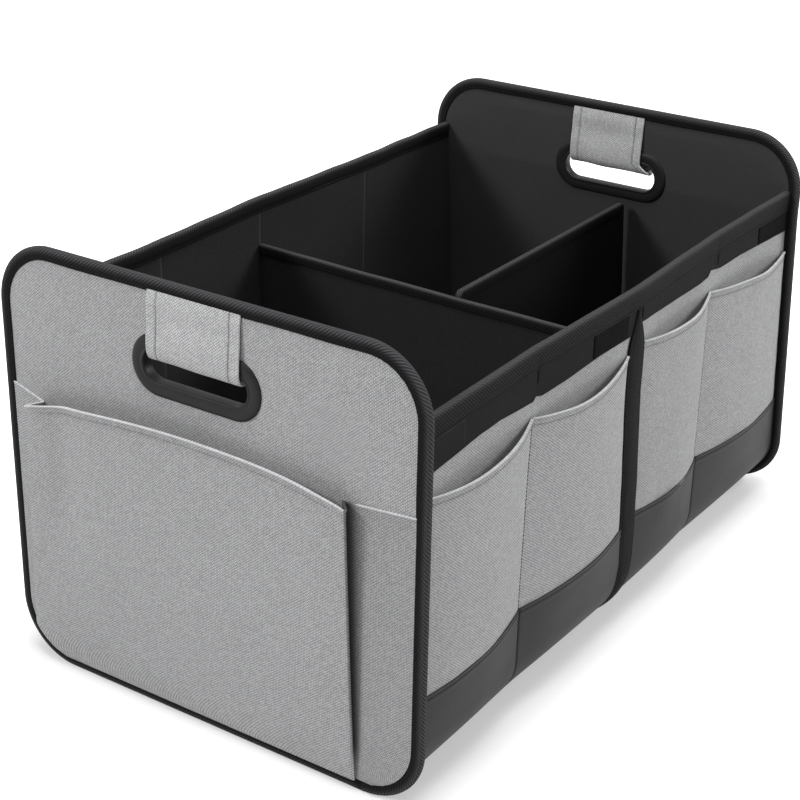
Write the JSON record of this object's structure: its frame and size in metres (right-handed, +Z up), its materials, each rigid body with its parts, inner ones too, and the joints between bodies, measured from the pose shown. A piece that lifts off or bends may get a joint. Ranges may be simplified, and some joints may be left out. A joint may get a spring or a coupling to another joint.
{
  "type": "car trunk organizer",
  "caption": "Open-topped collapsible car trunk organizer in grey oxford cloth with black bindings, pockets on every side, dividers inside and a handle slot with a strap in each end.",
  "frame": {"origin": "middle of the footprint, on the floor under the end panels", "axes": "+X along the length towards the rear end, +Z up; the long wall seen in the picture faces -Y"},
  "size_m": [0.6024, 0.364, 0.333],
  "materials": {
    "grey_oxford": "fine oxford weave, matt",
    "dark_grey_skirt": "smooth coated cloth",
    "black_lining": "matt nonwoven lining",
    "black_band": "fine ribbed cloth",
    "black_binding_tape": "ribbed polyester tape",
    "stiffener_board": "raw grey board",
    "black_board": "fine grain",
    "black_plastic": "satin moulded"
  },
  "bodies": {
    "root": {"front_binding": "black_binding_tape", "front_outer_cloth": "grey_oxford", "front_board": "stiffener_board", "front_lining": "black_lining", "front_ring_outer": "black_plastic", "front_ring_inner": "black_plastic", "front_strap": "grey_oxford", "front_pocket": "grey_oxford", "rear_binding": "black_binding_tape", "rear_outer_cloth": "grey_oxford", "rear_board": "stiffener_board", "rear_lining": "black_lining", "rear_ring_outer": "black_plastic", "rear_ring_inner": "black_plastic", "rear_strap": "grey_oxford", "rear_pocket": "grey_oxford", "right_board_1": "stiffener_board", "right_board_2": "stiffener_board", "right_board_3": "stiffener_board", "right_board_4": "stiffener_board", "right_wall_cloth": "grey_oxford", "right_band_front": "black_band", "right_band_rear": "black_band", "right_pocket_1": "grey_oxford", "right_pocket_2": "grey_oxford", "right_pocket_3": "grey_oxford", "right_pocket_4": "grey_oxford", "right_skirt_front": "dark_grey_skirt", "right_skirt_rear": "dark_grey_skirt", "right_top_binding": "black_binding_tape", "right_centre_tape": "black_binding_tape", "left_board_1": "stiffener_board", "left_board_2": "stiffener_board", "left_board_3": "stiffener_board", "left_board_4": "stiffener_board", "left_wall_cloth": "grey_oxford", "left_band_front": "black_band", "left_band_rear": "black_band", "left_pocket_1": "grey_oxford", "left_pocket_2": "grey_oxford", "left_pocket_3": "grey_oxford", "left_pocket_4": "grey_oxford", "left_skirt_front": "dark_grey_skirt", "left_skirt_rear": "dark_grey_skirt", "left_top_binding": "black_binding_tape", "left_centre_tape": "black_binding_tape", "bottom_cloth": "dark_grey_skirt", "body_lining": "black_lining", "cross_divider": "black_lining", "cross_divider_binding": "black_binding_tape", "rear_divider": "black_lining", "rear_divider_binding": "black_binding_tape", "front_base_board": "black_board", "rear_base_board": "black_board"}
  },
  "joints": []
}
